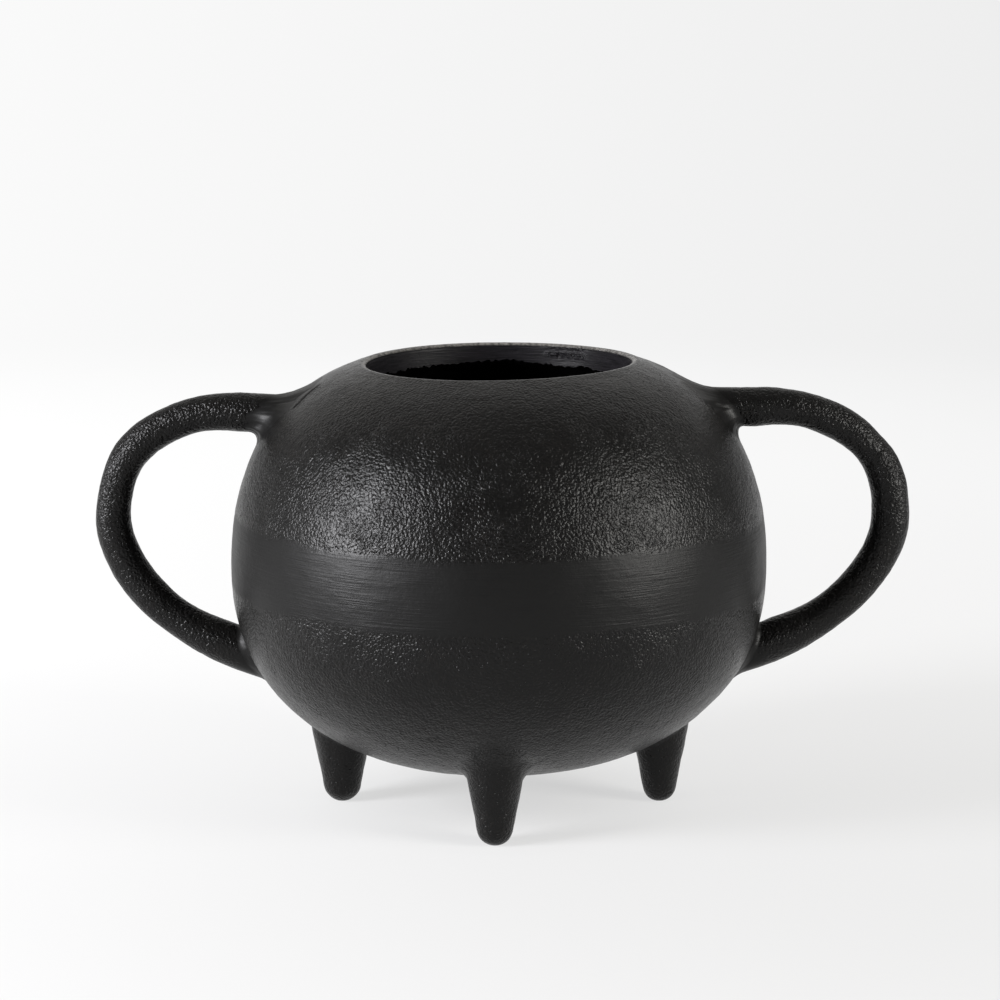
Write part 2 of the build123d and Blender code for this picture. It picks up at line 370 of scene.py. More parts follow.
# ------------------------------------------------------------- building meshes
class Piece:
    """A closed skin made of rings, laid one after the other."""

    def __init__(self, name):
        self.name = name
        self.points, self.rings, self.faces, self.mats = [], [], [], []
        self.count = 0
        self.crease = []
        self.marks = {}
        self.fixed = {}

    def ring(self, pts, crease=False, **marks):
        pts = np.asarray(pts, float)
        ids = np.arange(self.count, self.count + len(pts))
        self.points.append(pts)
        self.count += len(pts)
        self.rings.append(ids)
        if crease:
            self.crease.append(ids)
        for key, value in marks.items():
            self.marks.setdefault(key, []).append((ids, value))
        return ids

    def strip(self, a, b, mat=0):
        """Faces between two rings; one may have twice the columns of the other."""
        na, nb = len(a), len(b)
        if na == nb:
            a1, b1 = np.roll(a, -1), np.roll(b, -1)
            self.faces.append((np.stack([a, a1, b1, b], 1), mat))
        elif na == 2 * nb:
            ev, od, ev1, b1 = a[0::2], a[1::2], np.roll(a[0::2], -1), np.roll(b, -1)
            self.faces.append((np.stack([ev, od, b], 1), mat))
            self.faces.append((np.stack([od, b1, b], 1), mat))
            self.faces.append((np.stack([od, ev1, b1], 1), mat))
        elif nb == 2 * na:
            ev, od, ev1, a1 = b[0::2], b[1::2], np.roll(b[0::2], -1), np.roll(a, -1)
            self.faces.append((np.stack([a, od, ev], 1), mat))
            self.faces.append((np.stack([a, a1, od], 1), mat))
            self.faces.append((np.stack([a1, ev1, od], 1), mat))
        else:
            raise ValueError(f"{self.name}: rings of {na} and {nb}")

    def fan(self, ring, centre, mat=0, start=False, **marks):
        ids = np.array([self.count])
        self.points.append(np.array([centre], float))
        self.count += 1
        for key, value in marks.items():
            self.marks.setdefault(key, []).append((ids, value))
        nxt = np.roll(ring, -1)
        hub = np.full(len(ring), ids[0])
        tri = (hub, nxt, ring) if start else (ring, nxt, hub)
        self.faces.append((np.stack(tri, 1), mat))

    def build(self, materials, slot):
        pts = warp(np.concatenate(self.points))
        loops, starts, mats, at = [], [], [], 0
        for f, m in self.faces:
            loops.append(f.ravel())
            starts.append(at + np.arange(len(f)) * f.shape[1])
            mats.append(np.full(len(f), m))
            at += f.size
        loops, starts, mats = (np.concatenate(x).astype(np.int32) for x in (loops, starts, mats))
        me = bpy.data.meshes.new(self.name)
        me.vertices.add(len(pts))
        me.vertices.foreach_set("co", (pts * 0.001).ravel())
        me.loops.add(len(loops))
        me.loops.foreach_set("vertex_index", loops)
        me.polygons.add(len(starts))
        me.polygons.foreach_set("loop_start", starts)
        me.polygons.foreach_set("material_index", mats)
        me.polygons.foreach_set("use_smooth", np.ones(len(starts), bool))
        me.update(calc_edges=True)
        if me.validate():
            raise ValueError(f"{self.name}: faces had to be mended")
        # signed volume: the faces must look outward
        tri = np.array([])
        vol = 0.0
        for f, _ in self.faces:
            a = pts[f[:, 0]]
            for k in range(1, f.shape[1] - 1):
                vol += np.einsum("ij,ij->i", a, np.cross(pts[f[:, k]], pts[f[:, k + 1]])).sum()
        if vol < 0:
            me.flip_normals()
        if self.crease:
            group = np.full(len(pts), -1)
            for k, ids in enumerate(self.crease):
                group[ids] = k
            e = np.empty(len(me.edges) * 2, np.int32)
            me.edges.foreach_get("vertices", e)
            e = e.reshape(-1, 2)
            sharp = (group[e[:, 0]] == group[e[:, 1]]) & (group[e[:, 0]] >= 0)
            layer = me.attributes.new("sharp_edge", "BOOLEAN", "EDGE")
            layer.data.foreach_set("value", sharp)
        for key, parts in self.marks.items():
            values = np.zeros(len(pts), np.float32)
            for ids, value in parts:
                values[ids] = value
            layer = me.attributes.new(key, "FLOAT", "POINT")
            layer.data.foreach_set("value", values)
        for m in materials:
            me.materials.append(m)
        if self.fixed:
            # the painted skin runs on over the joints, so its shading does too
            per = np.zeros((len(pts), 3))
            keep = np.zeros(len(pts), bool)
            for _, (ids, n) in self.fixed.items():
                per[ids] = n
                keep[ids] = True
            lv = np.empty(len(me.loops), np.int32)
            me.loops.foreach_get("vertex_index", lv)
            cn = np.empty(len(me.loops) * 3, np.float32)
            me.corner_normals.foreach_get("vector", cn)
            cn = cn.reshape(-1, 3)
            want = per[lv]
            use = keep[lv] & ((cn * want).sum(1) > 0.8)
            custom = np.where(use[:, None], want, 0.0)
            me.normals_split_custom_set(custom.tolist())
        ob = bpy.data.objects.new(self.name, me)
        bpy.context.scene.collection.objects.link(ob)
        return ob


def turned(r, z, n, phase=0.0):
    a = (np.arange(n) + phase) * 2 * math.pi / n
    return np.stack([r * np.cos(a), r * np.sin(a), np.full(n, z) if np.isscalar(z) else z], 1)


# ------------------------------------------------------------------- the bowl
def bowl_rows(s0, s1, step):
    n = max(1, int(round((s1 - s0) / step)))
    return np.linspace(s0, s1, n + 1)


def outer_ring(s, n):
    (pos,), (tan,) = skin_line(s)
    base = turned(pos[0], pos[1], n)
    a = np.arange(n) * 2 * math.pi / n
    normal = np.stack([tan[1] * np.cos(a), tan[1] * np.sin(a), np.full(n, -tan[0])], 1)
    relief, marks = bowl_relief(base)
    return base + normal * relief[:, None], marks


def ring_normals(s, n=COLUMNS, step=1.3):
    up, here, low = (outer_ring(x, n)[0] for x in (s + step, s, s - step))
    side = np.roll(here, -1, 0) - np.roll(here, 1, 0)
    nrm = np.cross(side, up - low)
    return nrm / np.linalg.norm(nrm, axis=1)[:, None]


S_SEAM = (skin_at_height(SEAM_OUT[0]), skin_at_height(SEAM_OUT[1]))
seam_normals = [ring_normals(s) for s in S_SEAM]
_cs = np.linspace(0, cavity_line.length, 4000)
_cp, _ct = cavity_line(_cs)


def cavity_at_height(z):
    k = np.argmax(_cp[:, 1] > z)
    u = (z - _cp[k - 1, 1]) / (_cp[k, 1] - _cp[k - 1, 1])
    return _cs[k - 1] + u * (_cs[k] - _cs[k - 1])


C_SEAM = (cavity_at_height(SEAM_IN[0]), cavity_at_height(SEAM_IN[1]))


def inner_ring(s, n):
    (pos,), (tan,) = cavity_line(s)
    base = turned(pos[0], pos[1], n)
    a = np.arange(n) * 2 * math.pi / n
    normal = np.stack([tan[1] * np.cos(a), tan[1] * np.sin(a), np.full(n, -tan[0])], 1)
    fade = 1 - smooth(206.0, 212.0, pos[1])
    relief = 0.30 * N3(base, 34.0) + 0.16 * N4(base, 13.0) + 0.09 * N5(base, 6.0)
    return base + normal * (relief * fade)[:, None]


def make_upper():
    p = Piece("upper_shell_skin")
    rows = bowl_rows(S_SEAM[1], skin_line.length, 1.32)
    prev = first = None
    for k, s in enumerate(rows):
        pts, marks = outer_ring(s, COLUMNS)
        ids = p.ring(pts, crease=(k == 0), **marks)
        if k == 0:
            first = ids
            p.fixed["seam"] = (ids, seam_normals[1])
        else:
            p.strip(prev, ids, 0)
        prev = ids
    # lip: a narrow worn land, then a broken inner edge, both painted lighter in colour, partly as wear and partly as a
    # painted highlight of the bright lip edge
    a = np.arange(COLUMNS) * 2 * math.pi / COLUMNS
    circle = np.stack([np.cos(a) * 66, np.sin(a) * 66, np.zeros(COLUMNS)], 1)
    wear = 0.10 * N3(circle, 9.0) + 0.07 * N4(circle, 3.4)
    top = 0.05 * N2(circle, 16.0) + 0.035 * N5(circle, 4.0)
    for r, z, amount, worn_and_sheen_amount in (
        (68.1, 223.20, 0.5, 0.25), (67.5, 223.18, 0.9, 0.6), (66.9, 223.05, 1.0, 1.0),
        (66.4, 222.82, 1.2, 1.0), (66.02, 222.5, 1.2, 0.8), (65.78, 222.1, 1.1, 0.2),
    ):
        pts = turned(r - wear * amount, z + top - 0.05 * (amount > 1), COLUMNS)
        ids = p.ring(pts, band=np.zeros(COLUMNS), dress=np.full(COLUMNS, 0.1), worn=np.full(COLUMNS, worn_and_sheen_amount))
        p.strip(prev, ids, 0)
        prev = ids
    # the bored land, with the ledge under its edge and the porous patches
    jag = 0.6 * N3(circle, 13.0) + 0.55 * N4(circle, 3.6) + 0.75 * N5(circle, 1.5)
    turn = np.degrees(a)
    jag = np.clip(jag, -1.3, 1.3) + np.interp(
        turn, [0, 44, 52, 67, 85, 101, 119, 141, 180], [-0.6, -0.9, -0.6, -0.7, 1.2, 0.3, -0.3, -0.7, -0.6]
    )
    heights = [221.9, 221.7, 221.5, 221.2, 220.5, 219.8, 219.1, 218.4, 217.7, 217.0, 216.3, 215.7, 215.1, 214.6, 214.1, 213.5]
    for k, h in enumerate(heights):
        f = smooth(218.5, 213.5, h)
        z = h + jag * f
        r = np.full(COLUMNS, MOUTH_R)
        if h == 221.5:
            r = r + 0.22 * smooth(-0.2, 0.3, N2(circle, 22.0) + 0.25)
        q = np.stack([circle[:, 0], circle[:, 1], z], 1)
        deg = np.degrees(a)
        patch = smooth(46, 51, deg) * (1 - smooth(66, 71, deg))
        deep = np.maximum(0, N4(q * [1, 1, 1.6], 1.9) - 0.05) * 0.75 + np.maximum(0, N5(q * [1, 1, 2.2], 1.1)) * 0.35
        high = smooth(220.2, 221.0, z) + smooth(216.4, 217.2, z) * (1 - smooth(219.4, 220.0, z))
        r = r + patch * deep * np.clip(high, 0, 1) * (h < 222)
        hole = np.linalg.norm(q - [30.7, 58.1, 217.8], axis=1)
        r = r + 1.3 * np.exp(-((hole / 0.95) ** 2))
        more = np.maximum(0, N5(q * [1, 1, 1.4], 3.0) - 0.62) * 1.1
        r = r + more * (h < 221) * (h > 213.6)
        pts = turned(r, z, COLUMNS)
        ids = p.ring(pts, crease=(k == len(heights) - 1), band=np.zeros(COLUMNS), dress=patch * np.clip(high, 0, 1))
        p.strip(prev, ids, 1 if k else 0)
        prev = ids
    # the cast inside, down to the seam
    for s in bowl_rows(C_SEAM[1], cavity_line.length, 4.4)[::-1][1:]:
        ids = p.ring(inner_ring(s, COLUMNS), crease=(s == C_SEAM[1]))
        p.strip(prev, ids, 2)
        prev = ids
    p.strip(prev, first, 2)
    return p


def make_seam():
    p = Piece("equator_weld_skin")
    prev = first = None
    rows = bowl_rows(S_SEAM[0], S_SEAM[1], 1.2)
    for k, s in enumerate(rows):
        pts, marks = outer_ring(s, COLUMNS)
        end = k in (0, len(rows) - 1)
        ids = p.ring(pts, crease=end, **marks)
        if end:
            p.fixed[k] = (ids, seam_normals[0 if k == 0 else 1])
        if k == 0:
            first = ids
        else:
            p.strip(prev, ids, 0)
        prev = ids
    for s in (C_SEAM[1], sum(C_SEAM) / 2, C_SEAM[0]):
        pts = inner_ring(s, COLUMNS)
        if s not in C_SEAM:
            bead = pts * [1, 1, 0]
            pts = pts - bead / np.linalg.norm(bead, axis=1)[:, None] * 0.5
        ids = p.ring(pts, crease=s in C_SEAM)
        p.strip(prev, ids, 1)
        prev = ids
    p.strip(prev, first, 1)
    return p


def make_lower():
    p = Piece("lower_shell_skin")

    def columns(s):
        return 75 if s < 17 else 150 if s < 34 else 300 if s < 67 else COLUMNS

    rows = list(bowl_rows(0.0, 67.0, 2.3)[1:]) + list(bowl_rows(67.0, S_SEAM[0], 1.32)[1:])
    prev = None
    for s in rows:
        n = columns(s - 1e-6) if s < 67.5 else COLUMNS
        pts, marks = outer_ring(s, n)
        last = s == rows[-1]
        ids = p.ring(pts, crease=last, **marks)
        if last:
            p.fixed["seam"] = (ids, seam_normals[0])
        if prev is None:
            c = outer_ring(0.01, 8)[0].mean(0)
            p.fan(ids, c, 0, start=True, band=0.0, dress=0.0)
        else:
            p.strip(prev, ids, 0)
        prev = ids
    rows = list(bowl_rows(0.0, 67.0, 4.6)[1:]) + list(bowl_rows(67.0, C_SEAM[0], 4.4)[1:])
    for s in rows[::-1]:
        n = columns(s - 1e-6) if s < 67.5 else COLUMNS
        ids = p.ring(inner_ring(s, n), crease=(s == rows[-1]))
        p.strip(prev, ids, 1)
        prev = ids
    p.fan(prev, inner_ring(0.01, 8).mean(0), 1, band=0.0, dress=0.0)
    return p


# ---------------------------------------------------------------- bars and pegs
class Bar:
    """A round bar bent in the X-Z plane."""

    def __init__(self, line, radii, stray, seed, marks=()):
        self.path = Curve(line)
        self.length = self.path.length
        at = 18.0 + 8.0 * np.arange(len(radii))
        table = Curve(np.stack([at, np.array(radii) * 3.0, np.array(stray) * 3.0], 1))
        dense = table(np.linspace(0, table.length, 1200))[0]
        self.table = dense[:, 0], dense[:, 1] / 3.0, dense[:, 2] / 3.0
        self.seed = seed
        self.marks = marks

    def size(self, u):
        return np.interp(u, self.table[0], self.table[1])

    def frame(self, u, a):
        pos, tan = self.path(u)
        stray = np.interp(u, self.table[0], self.table[2])[:, None]
        pos = pos + np.stack([-tan[:, 1], tan[:, 0]], 1) * stray
        c = np.stack([pos[:, 0], np.zeros(len(pos)), pos[:, 1]], 1)
        t = np.stack([tan[:, 0], np.zeros(len(pos)), tan[:, 1]], 1)
        side = np.stack([-tan[:, 1], np.zeros(len(pos)), tan[:, 0]], 1)
        e = side * np.cos(a)[:, None]
        e[:, 1] += np.sin(a)
        return c, t, e

    def at(self, u, a, grow=0.0):
        c, t, e = self.frame(u, a)
        return c + e * (self.size(u) + grow)[:, None], e, t

    def relief(self, points, u, a):
        d = 0.20 * N1(points + self.seed, 17.0) + 0.11 * N2(points + self.seed, 8.0)
        near = np.minimum(u - self.root_low, self.root_high - u)
        rough = smooth(4.0, 12.0, near + 2 * N2(points, 9.0))
        d = d + rough * (0.09 * N3(points, 4.4) + 0.09 * N4(points, 2.6))
        # the bar is a little flat where the bender held it
        d = d - 0.10 * np.cos(2 * a) * smooth(40, 80, near)
        if self.marks:
            # a filed flat with a raised edge, along the front of the outer bend
            (u0, c0), (u1, c1) = self.marks
            t = np.clip((u - u0) / (u1 - u0), 0, 1)
            here = smooth(u0 - 3, u0 + 5, u) * (1 - smooth(u1 - 5, u1 + 3, u)) * (np.sin(a) < 0.2)
            over = np.cos(a) - (c0 + (c1 - c0) * t) + 0.05 * N5(points, 6.0)
            d = d - here * 0.34 * smooth(-0.01, 0.09, over) * (1 - smooth(0.30, 0.55, over))
            d = d + here * 0.17 * np.exp(-((over + 0.02) / 0.055) ** 2)
        return d, 1 - rough


class Peg:
    """A tapered peg foot standing at a place on the floor."""

    def __init__(self, at, grow, seed):
        self.at_xy = np.array(at)
        self.extra = grow
        self.side = Curve(FOOT)
        z = np.linspace(0, self.side.length, 800)
        pos, tan = self.side(z)
        self.z, self.r = pos[:, 1], pos[:, 0]
        self.seed = seed

    def size(self, h):
        slope = (self.r[-1] - self.r[-80]) / (self.z[-1] - self.z[-80])
        return np.interp(h, self.z, self.r) + np.maximum(0, h - self.z[-1]) * slope + self.extra * smooth(0.5, 6.0, h)

    def at(self, u, a, grow=0.0):
        r = self.size(u) + grow
        e = np.stack([np.cos(a), np.sin(a), np.zeros(len(a))], 1)
        c = np.stack([np.full(len(u), self.at_xy[0]), np.full(len(u), self.at_xy[1]), u], 1)
        t = np.tile([0.0, 0.0, 1.0], (len(u), 1))
        return c + e * r[:, None], e, t

    def relief(self, points, u, a):
        d = 0.22 * N1(points + self.seed, 13.0) + 0.13 * N2(points + self.seed, 6.0)
        d = d + 0.06 * N3(points, 3.6) + 0.04 * N4(points, 2.2)
        return d * smooth(0.0, 3.0, u), np.zeros(len(u))


def cross(shape, a, depth, lo, hi, grow=0.0):
    """Where each column of a bar reaches a depth under the bowl's skin; hi is outside."""
    grow = np.broadcast_to(np.asarray(grow, float), a.shape)
    lo, hi = np.full(len(a), float(lo)), np.full(len(a), float(hi))
    for _ in range(44):
        mid = (lo + hi) / 2
        inside = gap(shape.at(mid, a, grow)[0]) < -depth
        lo, hi = np.where(inside, mid, lo), np.where(inside, hi, mid)
    return (lo + hi) / 2


def make_bar(name, bar, n=76, step=0.95):
    p = Piece(name)
    a = np.arange(n) * 2 * math.pi / n
    u0 = cross(bar, a, 1.4, -40.0, 60.0)
    u1 = cross(bar, a, 1.4, bar.length + 40.0, bar.length - 70.0)
    rows = int((bar.length - 40) / step)
    prev = first = None
    for k in range(rows + 1):
        u = u0 + (u1 - u0) * k / rows
        pts, e, _ = bar.at(u, a)
        d, soft = bar.relief(pts, u, a)
        ids = p.ring(pts + e * d[:, None], crease=k in (0, rows), band=np.zeros(n), dress=soft)
        if k == 0:
            mid = pts.mean(0)
            p.fan(ids, mid, 0, start=True, band=0.0, dress=1.0)
        else:
            p.strip(prev, ids, 0)
        prev = ids
    p.fan(prev, pts.mean(0), 0, band=0.0, dress=1.0)
    return p


def make_peg(name, peg, marks=(), n=84, step=0.85):
    p = Piece(name)
    a = np.arange(n) * 2 * math.pi / n
    top = cross(peg, a, 1.4, 70.0, 5.0)
    rows = int(top.mean() / step)
    # closer rows at the rounded toe
    v = np.linspace(0, 1, rows + 8) ** 1.25
    prev = None
    for k, f in enumerate(v):
        u = top * f
        pts, e, _ = peg.at(u, a)
        d, _ = peg.relief(pts, u, a)
        for at, size, deep in marks:
            far = np.linalg.norm(pts - np.array(at), axis=1)
            d = d - deep * np.exp(-((far / size) ** 2))
        ids = p.ring(pts + e * d[:, None], crease=k in (0, len(v) - 1), band=np.zeros(n), dress=np.zeros(n))
        if k == 0:
            p.fan(ids, [peg.at_xy[0], peg.at_xy[1], 0.0], 0, start=True, band=0.0, dress=0.0)
        else:
            p.strip(prev, ids, 0)
        prev = ids
    p.fan(prev, pts.mean(0) + [0, 0, 0.5], 0, band=0.0, dress=0.0)
    return p


def make_weld(name, shape, inside, outside, spread, climb, bead, seed, tight=0.6, n=168, rows=18, soft=1.0, marks=()):
    """Weld metal drawn from the bowl's skin up the bar.

    spread and climb are how far it runs over the bowl and along the bar, bead how far
    it stands proud, each by the angle around the bar."""
    p = Piece(name)
    a = np.arange(n) * 2 * math.pi / n
    sgn = 1.0 if outside > inside else -1.0
    root = cross(shape, a, 0.0, inside, outside)
    wave = np.stack([np.cos(a) * 14, np.sin(a) * 14, np.full(n, float(seed))], 1)
    spread = np.asarray(spread(a), float) * (1 + 0.12 * N2(wave, 5.0) + 0.07 * N3(wave, 2.3))
    climb = np.asarray(climb(a), float) * (1 + 0.12 * N4(wave, 5.0) + 0.06 * N5(wave, 2.1))
    bead = np.asarray(bead(a), float)
    foot = cross(shape, a, 0.0, inside, outside, spread)
    b = shape.at(foot, a, spread)[0]
    nb = bowl_normal(b)
    b = b - nb * gap(b)[:, None]
    q, eq, tq = shape.at(root, a)
    uh = root + sgn * climb
    h, eh, th = shape.at(uh, a)
    b_face = b + nb * bowl_relief(b)[0][:, None]
    h_face = h + eh * shape.relief(h, uh, a)[0][:, None]
    p0 = b_face - nb * 0.07
    p3 = h_face - eh * 0.07
    reach_b = np.linalg.norm(q - b, axis=1)[:, None]
    reach_h = np.linalg.norm(h - q, axis=1)[:, None]
    to_q = q - b
    to_q = to_q - nb * (to_q * nb).sum(1)[:, None]
    to_q /= np.linalg.norm(to_q, axis=1)[:, None]
    back = (q - h) - eh * ((q - h) * eh).sum(1)[:, None]
    back /= np.linalg.norm(back, axis=1)[:, None]
    p1 = p0 + to_q * reach_b * tight
    p2 = p3 + back * reach_h * tight
    proud = nb + eh
    proud /= np.linalg.norm(proud, axis=1)[:, None]
    prev = first = None
    for k in range(rows + 1):
        t = k / rows
        pts = (1 - t) ** 3 * p0 + 3 * (1 - t) ** 2 * t * p1 + 3 * (1 - t) * t * t * p2 + t**3 * p3
        swell = math.sin(math.pi * t) ** 2
        ripple = 0.16 * N3(pts + seed, 4.2) + 0.07 * N4(pts + seed, 2.1)
        lift = (bead + ripple) * swell
        # painted shade in the weld's marks, passed on as the 'deep' mark
        hollow_painted_shade = np.zeros(n)
        for at, size, deep in marks:
            far = np.linalg.norm(pts - np.array(at), axis=1)
            lift = lift - deep * np.exp(-((far / size) ** 2)) * min(1.0, swell * 4)
            hollow_painted_shade = np.maximum(hollow_painted_shade, np.exp(-((far / size) ** 2) * 1.4))
        pts = pts + proud * lift[:, None]
        ids = p.ring(pts, crease=k in (0, rows), band=np.zeros(n), dress=np.full(n, soft), deep=hollow_painted_shade)
        if k == 0:
            first = ids
            p.fixed["low"] = (ids, nb)
        else:
            p.strip(prev, ids, 0)
        if k == rows:
            p.fixed["high"] = (ids, eh)
        prev = ids
    for pts in (p3 - eh * 0.9, q - eq * 1.0 - bowl_normal(q) * 1.0, p0 - nb * 0.9):
        ids = p.ring(pts, band=np.zeros(n), dress=np.ones(n))
        p.strip(prev, ids, 0)
        prev = ids
    p.strip(prev, first, 0)
    return p


# ------------------------------------------------------------------- materials
def material(name):
    m = bpy.data.materials.new(name)
    m.use_nodes = True
    nt = m.node_tree
    nt.nodes.clear()
    return m, nt


class Nodes:
    def __init__(self, tree):
        self.t = tree

    def new(self, kind, **inputs):
        n = self.t.nodes.new(kind)
        for key, value in inputs.items():
            if hasattr(n, key):
                setattr(n, key, value)
        return n

    def put(self, socket, value):
        if isinstance(value, bpy.types.NodeSocket):
            self.t.links.new(value, socket)
        else:
            socket.default_value = value

    def math(self, op, a, b=None, c=None, clamp=False):
        n = self.t.nodes.new("ShaderNodeMath")
        n.operation = op
        n.use_clamp = clamp
        for k, v in enumerate((a, b, c)):
            if v is not None:
                self.put(n.inputs[k], v)
        return n.outputs[0]

    def step(self, x, a, b, lo=0.0, hi=1.0):
        n = self.t.nodes.new("ShaderNodeMapRange")
        n.interpolation_type = "SMOOTHSTEP"
        self.put(n.inputs["Value"], x)
        for key, v in zip(("From Min", "From Max", "To Min", "To Max"), (a, b, lo, hi)):
            self.put(n.inputs[key], v)
        return n.outputs[0]

    def noise(self, vector, scale, detail=2.0, rough=0.5, distort=0.0):
        n = self.t.nodes.new("ShaderNodeTexNoise")
        self.put(n.inputs["Vector"], vector)
        n.inputs["Scale"].default_value = scale
        n.inputs["Detail"].default_value = detail
        n.inputs["Roughness"].default_value = rough
        n.inputs["Distortion"].default_value = distort
        return n.outputs["Fac"]

    def voronoi(self, vector, scale, feature="F1", smoothness=None):
        n = self.t.nodes.new("ShaderNodeTexVoronoi")
        n.feature = feature
        self.put(n.inputs["Vector"], vector)
        n.inputs["Scale"].default_value = scale
        if smoothness is not None and "Smoothness" in n.inputs:
            n.inputs["Smoothness"].default_value = smoothness
        return n.outputs["Distance"], n.outputs["Color"]

    def scaled(self, vector, by):
        n = self.t.nodes.new("ShaderNodeVectorMath")
        n.operation = "MULTIPLY"
        self.put(n.inputs[0], vector)
        n.inputs[1].default_value = by
        return n.outputs[0]

    def mix(self, fac, a, b):
        n = self.t.nodes.new("ShaderNodeMix")
        n.data_type = "RGBA"
        self.put(n.inputs[0], fac)
        for k, v in ((6, a), (7, b)):
            self.put(n.inputs[k], v if isinstance(v, bpy.types.NodeSocket) else (*v, 1.0))
        return n.outputs[2]

    def blend(self, fac, a, b):
        n = self.t.nodes.new("ShaderNodeMix")
        n.data_type = "FLOAT"
        self.put(n.inputs[0], fac)
        self.put(n.inputs[2], a)
        self.put(n.inputs[3], b)
        return n.outputs[0]

    def attr(self, name):
        n = self.t.nodes.new("ShaderNodeAttribute")
        n.attribute_name = name
        return n.outputs["Fac"]

    def place(self):
        n = self.t.nodes.new("ShaderNodeTexCoord")
        return self.scaled(n.outputs["Object"], (1000, 1000, 1000))

    def bump(self, height, distance=0.001, strength=1.0):
        n = self.t.nodes.new("ShaderNodeBump")
        n.inputs["Distance"].default_value = distance
        n.inputs["Strength"].default_value = strength
        self.put(n.inputs["Height"], height)
        return n.outputs[0]


SPEC = 0.17
GRAIN = 0.66
WORN_AND_SHEEN_GREY = (0.150, 0.143, 0.134)
DARK = (0.0028, 0.0027, 0.0026)
DUST = (0.0084, 0.0073, 0.0064)


def painted(name, cast=1.0, gloss=0.0, lift=1.0):
    """Satin black paint over sand-cast metal, smooth where it was ground."""
    m, tree = material(name)
    g = Nodes(tree)
    mm = g.place()
    band, dress, deep = g.attr("band"), g.attr("dress"), g.attr("deep")
    ground = g.math("MAXIMUM", band, dress, clamp=True)
    rough_skin = g.math("MULTIPLY_ADD", ground, -0.93, 1.0)
    # pebbled grain of the sand mould
    fine = g.noise(mm, 0.80, 1.0, 0.5, 0.25)
    cells, _ = g.voronoi(mm, 0.60, "SMOOTH_F1", 0.30)
    coarse = g.noise(mm, 0.26, 1.5, 0.5)
    grain = g.math("MULTIPLY", g.math("SUBTRACT", fine, 0.5), GRAIN)
    grain = g.math("ADD", grain, g.math("MULTIPLY", cells, -0.18))
    grain = g.math("ADD", grain, g.math("MULTIPLY", coarse, 0.22))
    # it lies thicker in some places than in others
    thick = g.step(g.noise(mm, 0.045, 2.0, 0.55), 0.33, 0.62, 0.62, 1.12)
    # pin holes, a few large ones among many small ones; further down, their colour is darkened as painted shade
    holes = None
    for scale, share, least, spread in ((0.30, 0.55, 0.085, 0.06), (0.52, 0.60, 0.10, 0.08)):
        spot, chance = g.voronoi(mm, scale)
        sep = tree.nodes.new("ShaderNodeSeparateColor")
        g.put(sep.inputs[0], chance)
        some = g.step(sep.outputs[0], share, share + 0.06)
        size = g.math("MULTIPLY_ADD", sep.outputs[1], spread, least)
        one = g.math("SUBTRACT", 1.0, g.step(g.math("DIVIDE", spot, size), 0.55, 1.5))
        one = g.math("MULTIPLY", one, some)
        holes = one if holes is None else g.math("MAXIMUM", holes, one)
    hole = g.math("MULTIPLY", holes, rough_skin)
    # strokes of the grinder, running round the band
    strokes = g.noise(g.scaled(mm, (0.045, 0.045, 1.15)), 1.0, 3.0, 0.6)
    broken = g.step(g.noise(g.scaled(mm, (0.05, 0.05, 0.12)), 1.0, 2.0, 0.5), 0.35, 0.65, 0.35, 1.0)
    strokes = g.math("MULTIPLY", g.math("MULTIPLY", strokes, band), g.math("MULTIPLY", broken, 0.26))
    faint = g.math("MULTIPLY", g.noise(mm, 0.35, 2.0, 0.5), 0.05)
    height = g.math("MULTIPLY", grain, g.math("MULTIPLY", g.math("MULTIPLY", rough_skin, thick), cast))
    height = g.math("ADD", height, strokes)
    height = g.math("ADD", height, faint)
    height = g.math("MULTIPLY_ADD", hole, -0.36, height)
    # paint: a little brown dust on the high spots, thin at random places
    dust = g.step(g.noise(mm, 0.055, 3.0, 0.6), 0.42, 0.75)
    peak = g.step(fine, 0.50, 0.74)
    tint = g.math("MULTIPLY", g.math("MULTIPLY_ADD", dust, 0.55, 0.25), g.math("MULTIPLY_ADD", peak, 0.9, 0.1))
    colour = g.mix(g.math("MULTIPLY", tint, rough_skin), tuple(c * lift for c in DARK), DUST)
    # the lip is painted lighter grey: partly real wear, partly a painted highlight of its bright edge
    wear_and_sheen_breakup = g.step(g.noise(mm, 0.6, 3.0, 0.65), 0.34, 0.62, 0.25, 1.0)
    worn_and_sheen_amount = g.math("MULTIPLY", g.attr("worn"), wear_and_sheen_breakup)
    colour = g.mix(worn_and_sheen_amount, colour, WORN_AND_SHEEN_GREY)
    # painted shade: the pin holes, pits and weld creases are painted near black, and made rougher
    pit_painted_shade = g.math("MAXIMUM", hole, deep)
    colour = g.mix(pit_painted_shade, colour, (0.0022, 0.0021, 0.0020))
    rough = g.math("MULTIPLY_ADD", g.noise(mm, 0.09, 2.0, 0.5), 0.10, 0.25 - gloss)
    rough = g.math("MULTIPLY_ADD", g.math("SUBTRACT", fine, 0.5), 0.10, rough)
    rough = g.math("MULTIPLY_ADD", ground, 0.13, rough)
    rough = g.math("MULTIPLY_ADD", dress, -0.08, rough)
    rough = g.math("MULTIPLY_ADD", pit_painted_shade, 0.45, rough, clamp=True)
    shader = tree.nodes.new("ShaderNodeBsdfPrincipled")
    g.put(shader.inputs["Base Color"], colour)
    g.put(shader.inputs["Roughness"], rough)
    shader.inputs["Specular IOR Level"].default_value = SPEC
    g.put(shader.inputs["Normal"], g.bump(height))
    out = tree.nodes.new("ShaderNodeOutputMaterial")
    tree.links.new(shader.outputs[0], out.inputs[0])
    return m


